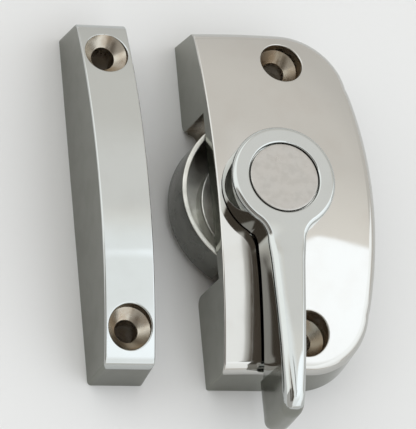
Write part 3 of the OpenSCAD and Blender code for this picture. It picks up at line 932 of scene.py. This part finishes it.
def cam_mesh(tree, finish, band_shade_finish):
    """The rim and floor swept on the offset centre, the hub and boss, and the spindle's square."""
    sector = {"start": RIM_FROM, "sweep": RIM_TO - RIM_FROM}
    offset = Matrix.Translation((CAM_THROW * math.cos(THROW_ANGLE), CAM_THROW * math.sin(THROW_ANGLE), 0))
    rim = swept_section(tree, finish, GROOVE_R, CAM_R, CAM_BACK, RIM_TOP - CAM_BACK, taper=RIM_TAPER,
                        edge=CAM_RIM_EDGE, **sector)
    foot = CAM_BACK + FLOOR_UP
    floor = swept_section(tree, finish, FLOOR_BORE, CAM_R - FLOOR_IN, foot,
                          GROOVE_FLOOR - CAM_BACK - FLOOR_UP, edge=FLOOR_EDGE, **sector)
    heel_r = CAM_R - CAM_EDGE
    round_z = CAM_BACK + CAM_EDGE
    heel = turned("heel", arc(heel_r, round_z, CAM_EDGE, -math.pi / 2, 0, 12)
                  + [(CAM_R + CUT, round_z), (CAM_R + CUT, CAM_BACK - CUT), (heel_r, CAM_BACK - CUT)],
                  steps=240)
    for part in (rim, floor, heel):
        part.transform(offset)
    lug = swept_section(tree, finish, CAM_BOSS_R - LUG_LAP, LUG_R, HUB_TOP - LUG_LAP,
                        LUG_TOP - HUB_TOP + LUG_LAP, edge=LUG_EDGE, start=-LUG_HALF, sweep=2 * LUG_HALF)
    hub = turned("hub", [(0, CAM_BACK), (HUB_R - HUB_EDGE, CAM_BACK), (HUB_R, CAM_BACK + HUB_EDGE)]
                 + [(HUB_R - HUB_EDGE * (1 - math.cos(turn)), HUB_TOP - HUB_EDGE * (1 - math.sin(turn)))
                    for turn in edge_turns(5)]
                 + [(CAM_BOSS_R, HUB_TOP), (CAM_BOSS_R, CAM_TOP), (0, CAM_TOP)], steps=192)
    joined = combined(combined(combined(rim, [floor], "UNION"), [heel], "DIFFERENCE"), [hub, lug], "UNION")
    half = CAM_SQUARE / 2
    head = drill("head", SPINDLE_HEAD_R, 0, CAM_BACK + SPINDLE_HEAD_T)
    square = prism("cam_square", rectangle(-half, -half, half, half), 0, CAM_TOP + CUT)
    cam = combined(joined, [head, square], "DIFFERENCE")
    # The cup's finish is a lightened copy of the plating, painted light against the shade under the case
    cam.materials.clear()
    cam.materials.append(finish)
    cam.materials.append(band_shade_finish)
    # The cup's outside band takes a dark copy of its finish, which is painted shade
    for face in cam.polygons:
        from_centre = (face.center - offset.translation).to_2d().length
        is_shaded_band = from_centre > CAM_R - CAM_EDGE and face.normal.z < 0.3
        face.material_index = 1 if is_shaded_band and face.normal.to_2d().dot(face.center.to_2d()) > 0 else 0
    return cam


# Finishes

def shader_group(name, inputs, outputs):
    """An empty shader node group with its sockets, and its input and output nodes."""
    tree = bpy.data.node_groups.new(name, "ShaderNodeTree")
    for label, kind, default in inputs:
        socket = tree.interface.new_socket(label, in_out="INPUT", socket_type=kind)
        if default is not None:
            socket.default_value = default
    for label, kind in outputs:
        tree.interface.new_socket(label, in_out="OUTPUT", socket_type=kind)
    return tree, tree.nodes.new("NodeGroupInput").outputs, tree.nodes.new("NodeGroupOutput").inputs


FLOAT = "NodeSocketFloat"
COLOR = "NodeSocketColor"
VECTOR = "NodeSocketVector"


def put(tree, kind, links=(), **settings):
    """Adds a node; settings are its properties or, with spaces as underscores, its input values."""
    node = tree.nodes.new(kind)
    for key, given in settings.items():
        if key in node.bl_rna.properties:
            setattr(node, key, given)
        else:
            node.inputs[key.replace("_", " ")].default_value = given
    for source, socket in links:
        tree.links.new(source, node.inputs[socket])
    return node


def polish_group():
    """Hand polishing: long shallow waves, fine lines and a roughness that wanders."""
    tree, given, result = shader_group(
        "hand_polish",
        [("Position", VECTOR, None), ("Wave", FLOAT, 1.0), ("Lines", FLOAT, 1.0), ("Rough", FLOAT, 0.06)],
        [("Height", FLOAT), ("Roughness", FLOAT), ("Cloud", FLOAT)])
    place = [(given["Position"], "Vector")]
    wave = put(tree, "ShaderNodeTexNoise", place, Scale=70.0, Detail=2.0, Roughness=0.45)
    stretch = put(tree, "ShaderNodeMapping", place, Scale=(900.0, 60.0, 300.0), Rotation=(0.0, 0.0, 0.6))
    lines = put(tree, "ShaderNodeTexNoise", [(stretch.outputs[0], "Vector")], Scale=3.0, Detail=3.0)
    cloud = put(tree, "ShaderNodeTexNoise", place, Scale=240.0, Detail=4.0, Roughness=0.6)
    wave_height = maths(tree, "MULTIPLY", wave.outputs[0], given["Wave"])
    line_height = maths(tree, "MULTIPLY", lines.outputs[0], given["Lines"])
    line_share = 0.02
    height = maths(tree, "ADD", maths(tree, "MULTIPLY", line_height, line_share), wave_height)
    tree.links.new(height, result["Height"])
    spread = put(tree, "ShaderNodeMapRange", [(cloud.outputs[0], "Value")], From_Min=0.3, From_Max=0.75,
                 To_Min=0.7, To_Max=1.5)
    rough = maths(tree, "MULTIPLY", spread.outputs[0], given["Rough"])
    tree.links.new(rough, result["Roughness"])
    tree.links.new(cloud.outputs[0], result["Cloud"])
    return tree


def stain_group():
    """A faint tint in patches, as on thin plating."""
    tree, given, result = shader_group(
        "plating_stain",
        [("Position", VECTOR, None), ("Clean", COLOR, None), ("Stained", COLOR, None),
         ("Scale", FLOAT, 160.0), ("From", FLOAT, 0.45), ("To", FLOAT, 0.75)],
        [("Color", COLOR), ("Mask", FLOAT)])
    noise = put(tree, "ShaderNodeTexNoise", [(given["Position"], "Vector"), (given["Scale"], "Scale")],
                Detail=5.0, Roughness=0.55)
    mask = put(tree, "ShaderNodeMapRange", [(noise.outputs[0], "Value"), (given["From"], "From Min"),
                                            (given["To"], "From Max")], interpolation_type="SMOOTHSTEP")
    mix = put(tree, "ShaderNodeMix", data_type="RGBA")
    tree.links.new(mask.outputs[0], mix.inputs["Factor"])
    tree.links.new(given["Clean"], mix.inputs[6])
    tree.links.new(given["Stained"], mix.inputs[7])
    tree.links.new(mix.outputs[2], result["Color"])
    tree.links.new(mask.outputs[0], result["Mask"])
    return tree


HAND_POLISH = polish_group()
PLATING_STAIN = stain_group()


def procedural(name):
    """A new material, with its node tree, its shader and its object coordinates."""
    material = bpy.data.materials.new(name)
    material.use_nodes = True
    tree = material.node_tree
    place = put(tree, "ShaderNodeTexCoord").outputs["Object"]
    return material, tree, tree.nodes["Principled BSDF"], place


def finish_of(name, clean, stained, rough, wave, lines, stain_scale, stain_from, stain_to, bump,
              metallic=1.0):
    """A finish with hand-polish marks and a faint stain, of metal unless it is told otherwise."""
    material, tree, shader, place = procedural(name)
    shader.inputs["Metallic"].default_value = metallic
    polish = put(tree, "ShaderNodeGroup", node_tree=HAND_POLISH)
    stain = put(tree, "ShaderNodeGroup", node_tree=PLATING_STAIN)
    for group, values in ((polish, {"Wave": wave, "Lines": lines, "Rough": rough}),
                          (stain, {"Clean": clean, "Stained": stained, "Scale": stain_scale,
                                   "From": stain_from, "To": stain_to})):
        tree.links.new(place, group.inputs["Position"])
        for label, given in values.items():
            group.inputs[label].default_value = given
    if bump:
        marks = [(polish.outputs["Height"], "Height")]
        relief = put(tree, "ShaderNodeBump", marks, Strength=1.0, Distance=bump)
        tree.links.new(relief.outputs[0], shader.inputs["Normal"])
    tree.links.new(stain.outputs["Color"], shader.inputs["Base Color"])
    tree.links.new(polish.outputs["Roughness"], shader.inputs["Roughness"])
    return material


def rgb(red, green, blue):
    return (red, green, blue, 1.0)


# Clean and stained colour, roughness, polish waves and lines, scale and range of the stain, height in metres
bright_plating = finish_of("bright_plating", rgb(0.507, 0.525, 0.515), rgb(0.493, 0.509, 0.497),
                           0.05, 1.0, 0.4, 130.0, 0.42, 0.7, 0.00002)
warm_plating = finish_of("warm_plating", rgb(0.54, 0.535, 0.513), rgb(0.527, 0.517, 0.492),
                         0.05, 1.0, 0.4, 130.0, 0.42, 0.7, 0.00002)
# A darker, browner copy of the plating for holes, pockets and cuts: painted shade in the hollows
recess_painted_shade = finish_of("recess_painted_shade", rgb(0.47, 0.435, 0.375), rgb(0.36, 0.295, 0.225),
                           0.24, 1.0, 1.0, 260.0, 0.38, 0.62, 0.00003)
# The side finishes are dark copies of the plating, painted shade for the walls; the case's copy is a little
# lighter
side_painted_shade = finish_of("side_painted_shade", rgb(0.235, 0.238, 0.213), rgb(0.21, 0.213, 0.188),
                         0.14, 1.0, 1.0, 220.0, 0.4, 0.7, 0.00002)
case_side_painted_shade = finish_of("case_side_painted_shade", rgb(0.265, 0.268, 0.238), rgb(0.24, 0.242, 0.213),
                              0.14, 1.0, 1.0, 220.0, 0.4, 0.7, 0.00002)
# A lightened copy of the cam's plating for the cup, painted light against the shade under the case's overhang
cup_plating_painted_light = finish_of("cup_plating_painted_light", rgb(0.7, 0.7, 0.66), rgb(0.58, 0.58, 0.54),
                           0.42, 1.0, 2.0, 300.0, 0.4, 0.7, 0.00003)
# A dark copy of the cam's plating for its outside band: painted shade
band_painted_shade = finish_of("band_painted_shade", rgb(0.165, 0.167, 0.15), rgb(0.13, 0.132, 0.117),
                         0.22, 1.0, 2.0, 300.0, 0.4, 0.7, 0.00002)
satin_metal = finish_of("satin_metal", rgb(0.47, 0.455, 0.43), rgb(0.435, 0.42, 0.395),
                        0.36, 0.3, 1.5, 700.0, 0.4, 0.65, 0.00001)
machined_steel = finish_of("machined_steel", rgb(0.46, 0.45, 0.43), rgb(0.36, 0.34, 0.31),
                           0.28, 0.5, 2.0, 500.0, 0.4, 0.7, 0.00002)
turned_brass = finish_of("turned_brass", rgb(0.66, 0.47, 0.2), rgb(0.5, 0.33, 0.14),
                         0.26, 0.5, 2.0, 400.0, 0.4, 0.7, 0.00002)
nylon = finish_of("moulded_nylon", rgb(0.74, 0.72, 0.66), rgb(0.62, 0.59, 0.52),
                  0.45, 1.0, 1.0, 160.0, 0.45, 0.75, 0, metallic=0.0)
PLATING = [bright_plating, recess_painted_shade, side_painted_shade]
CASE_PLATING = [warm_plating, recess_painted_shade, case_side_painted_shade]

# Pieces

SECTION = swept_section_tree()
piece("case_shell", case_mesh(), CASE_PLATING, "base", "plated_casting", "case")
piece("keep_bar", keep_mesh(), PLATING, "base", "plated_casting", "keep")
piece("lever_arm", lever_mesh(), PLATING, "rotor", "plated_casting", "lever")
piece("cap_disc", cap_mesh(), [satin_metal], "rotor", "satin_cap", "lever_cap")
piece("cam_cup", cam_mesh(SECTION, cup_plating_painted_light, band_painted_shade), [], "rotor", "plated_cam", "cam")

low, high = node_box("lever_washer")
washer = swept_section(SECTION, nylon, WASHER_BORE, high.x, low.z, high.z - low.z)
piece("washer_ring", washer, [nylon], "base", "nylon", "lever_washer")
low, high = node_box("disc_spring")
spring = swept_section(SECTION, machined_steel, WASHER_BORE, high.x, low.z, SPRING_T, rise=SPRING_RISE)
piece("spring_disc", spring, [machined_steel], "rotor", "bright_steel", "disc_spring")
low, high = node_box("lock_washer")
lock = swept_section(SECTION, machined_steel, LOCK_BORE, high.y, low.z, high.z - low.z, edge=LOCK_EDGE,
                     start=LOCK_GAP / 2, sweep=2 * math.pi - LOCK_GAP)
piece("lock_ring", lock, [machined_steel], "rotor", "bright_steel", "lock_washer")

CAD_FINISHES = {"spindle": machined_steel, "lever_screw": machined_steel, "stop_pin": machined_steel,
                "spindle_bush": turned_brass}
for name, finish in CAD_FINISHES.items():
    node_mesh = frame["nodes"][name].data
    node_mesh.materials.clear()
    node_mesh.materials.append(finish)

# Floor, light and camera

FLOOR_HALF = 4.0
FLOOR_Z = -0.00002


def paper_floor():
    material, tree, shader, place = procedural("paper_floor")
    shader.inputs["Roughness"].default_value = 0.9
    shader.inputs["Specular IOR Level"].default_value = 0.1
    grain = put(tree, "ShaderNodeTexNoise", [(place, "Vector")], Scale=900.0, Detail=3.0)
    shade = put(tree, "ShaderNodeValToRGB", [(grain.outputs[0], 0)])
    shade.color_ramp.elements[0].color = rgb(0.765, 0.765, 0.765)
    shade.color_ramp.elements[1].color = rgb(0.775, 0.775, 0.775)
    tree.links.new(shade.outputs[0], shader.inputs["Base Color"])
    mesh = bpy.data.meshes.new("floor")
    corners = rectangle(-FLOOR_HALF, -FLOOR_HALF, FLOOR_HALF, FLOOR_HALF)
    mesh.from_pydata([(x, y, FLOOR_Z) for x, y in corners], [], [(0, 1, 2, 3)])
    mesh.materials.append(material)
    placed("floor", mesh)


def panel_group():
    """A soft-edged rectangle on the sky, placed by the slopes x/z and y/z of a direction."""
    tree, given, result = shader_group(
        "sky_panel",
        [("Slope X", FLOAT, 0.0), ("Slope Y", FLOAT, 0.0), ("Low X", FLOAT, -50.0), ("High X", FLOAT, 50.0),
         ("Low Y", FLOAT, -50.0), ("High Y", FLOAT, 50.0), ("Soft Low X", FLOAT, 0.1),
         ("Soft High X", FLOAT, 0.1), ("Soft Low Y", FLOAT, 0.1), ("Soft High Y", FLOAT, 0.1),
         ("Lean", FLOAT, 0.0), ("Slant", FLOAT, 0.0)],
        [("Mask", FLOAT)])
    lean = maths(tree, "MULTIPLY", given["Slope Y"], given["Lean"])
    slant = maths(tree, "MULTIPLY", given["Slope X"], given["Slant"])
    slopes = {"X": maths(tree, "SUBTRACT", given["Slope X"], lean),
              "Y": maths(tree, "SUBTRACT", given["Slope Y"], slant)}
    mask = 1.0
    for axis, slope in slopes.items():
        for edge, operation in (("Low " + axis, "ADD"), ("High " + axis, "SUBTRACT")):
            far = maths(tree, operation, given[edge], given["Soft " + edge])
            ends = [(slope, "Value"), (given[edge], "From Min"), (far, "From Max")]
            side = put(tree, "ShaderNodeMapRange", ends, interpolation_type="SMOOTHSTEP")
            mask = maths(tree, "MULTIPLY", side.outputs[0], mask)
    tree.links.new(mask, result["Mask"])
    return tree


# Panels of the light tent, each laid over the ones before it
SKY_PANELS = [
    # Shaded wall to the right
    (rgb(0.84, 0.82, 0.78), {"Low X": 0.85, "Soft Low X": 0.4}),
    # Pale patch behind the object
    (rgb(1.1, 1.08, 1.05), {"Low X": 0.18, "High X": 0.66, "Soft High X": 0.2, "Low Y": 0.2, "High Y": 0.8,
                           "Soft High Y": 0.35}),
    # White wall to the left, and the dim space below it
    (rgb(1.5, 1.53, 1.51), {"High X": 0.12, "Soft High X": 0.16, "Low Y": 0.1, "High Y": 1.8,
                            "Soft High Y": 0.8}),
    (rgb(0.62, 0.6, 0.57), {"High X": -0.02, "High Y": 0.12, "Soft High Y": 0.08}),
    # Pale roof, and its right part
    (rgb(1.38, 1.41, 1.42), {"Low X": -0.06, "Soft Low X": 0.06, "Low Y": -6.0, "Soft Low Y": 5.0,
                             "High Y": 0.54, "Soft High Y": 0.18, "Slant": -0.8}),
    (rgb(1.36, 1.4, 1.41), {"Low X": 0.55, "Soft Low X": 0.2, "Low Y": -6.0, "Soft Low Y": 5.0, "High Y": 0.2,
                            "Soft High Y": 0.05}),
    # Bright roof, its leaning edge, and the slanted part that shows in the case's rounded right edge
    (rgb(1.76, 1.83, 1.9), {"Low X": 0.34, "High X": 1.6, "Soft High X": 0.8, "Low Y": -1.1,
                            "Soft Low Y": 1.0, "High Y": 0.15, "Soft High Y": 0.03, "Lean": 0.4}),
    (rgb(1.76, 1.83, 1.9), {"Low X": 0.12, "Soft Low X": 0.05, "High X": 1.25, "Soft High X": 0.6,
                            "Low Y": 0.05, "Soft Low Y": 0.05, "High Y": 0.218, "Soft High Y": 0.022,
                            "Lean": 1.9}),
    (rgb(1.62, 1.68, 1.72), {"Low X": 0.84, "Soft Low X": 0.12, "High X": 4.0, "Soft High X": 2.5,
                             "Low Y": -6.0, "Soft Low Y": 5.0, "High Y": -0.086, "Soft High Y": 0.06,
                             "Slant": 0.4}),
    # Dark gaps in the tent
    (rgb(0.6, 0.6, 0.57), {"Low X": 0.194, "Soft Low X": 0.012, "High X": 0.268, "Soft High X": 0.02,
                           "Low Y": -0.6, "High Y": 0.19, "Soft High Y": 0.04}),
    (rgb(0.1, 0.08, 0.06), {"Low X": 0.213, "Soft Low X": 0.012, "High X": 0.265, "Soft High X": 0.02,
                            "Low Y": -0.6, "High Y": 0.16, "Soft High Y": 0.04}),
    (rgb(0.12, 0.1, 0.08), {"Low X": -0.38, "Soft Low X": 0.05, "High X": -0.09, "Soft High X": 0.04,
                            "Low Y": -1.3, "Soft Low Y": 0.3, "High Y": 0.14, "Soft High Y": 0.05}),
    (rgb(0.12, 0.1, 0.08), {"Low X": -1.3, "Soft Low X": 0.4, "High X": -0.555, "Soft High X": 0.03,
                            "Low Y": -1.5, "Soft Low Y": 0.4, "High Y": 0.08, "Soft High Y": 0.05}),
]


def studio_sky():
    """A light tent: an even wall that dims upwards and to the floor, with pale panels and dark gaps."""
    world = bpy.data.worlds.new("light_tent")
    bpy.context.scene.world = world
    world.use_nodes = True
    tree = world.node_tree
    panel = panel_group()
    place = put(tree, "ShaderNodeTexCoord").outputs["Generated"]
    x, y, z = put(tree, "ShaderNodeSeparateXYZ", [(place, 0)]).outputs
    lowest = 0.05
    height = maths(tree, "MAXIMUM", z, lowest)
    slope_x = maths(tree, "DIVIDE", x, height)
    slope_y = maths(tree, "DIVIDE", y, height)

    def laid_over(under, colour, mask):
        mix = put(tree, "ShaderNodeMix", [(mask, 0)], data_type="RGBA")
        if isinstance(under, tuple):
            mix.inputs[6].default_value = under
        else:
            tree.links.new(under, mix.inputs[6])
        mix.inputs[7].default_value = colour
        return mix.outputs[2]

    def share(socket, low, high):
        return put(tree, "ShaderNodeMapRange", [(socket, "Value")], From_Min=low, From_Max=high).outputs[0]

    sky = laid_over(rgb(1.2, 1.165, 1.107), rgb(0.97, 0.94, 0.893), share(slope_y, 0.25, 0.6))
    sky = laid_over(sky, rgb(0.8, 0.78, 0.745), share(z, 0.65, 0.4))
    sky = laid_over(sky, rgb(1.15, 1.13, 1.1), share(z, 0.35, 0.1))
    for colour, sizes in SKY_PANELS:
        mask = put(tree, "ShaderNodeGroup", [(slope_x, "Slope X"), (slope_y, "Slope Y")], node_tree=panel)
        for label, given in sizes.items():
            mask.inputs[label].default_value = given
        sky = laid_over(sky, colour, mask.outputs[0])
    tree.links.new(sky, tree.nodes["Background"].inputs["Color"])


CAMERA_PLACE = Vector((-0.27106, -0.27567, 0.73216))
CAMERA_RIGHT = Vector((0.9494, -0.0874, 0.3018))
CAMERA_AHEAD = Vector((0.3133, 0.3351, -0.8886))
CAMERA_LENS = 377.62


def photo_camera():
    data = bpy.data.cameras.new("camera")
    data.lens = CAMERA_LENS
    data.clip_start = 0.01
    camera = placed("camera", data)
    back = -CAMERA_AHEAD.normalized()
    up = back.cross(CAMERA_RIGHT).normalized()
    right = up.cross(back)
    camera.matrix_world = Matrix.Translation(CAMERA_PLACE) @ Matrix((right, up, back)).transposed().to_4x4()
    bpy.context.scene.camera = camera


paper_floor()
studio_sky()
photo_camera()
bpy.context.scene.view_settings.view_transform = "Standard"
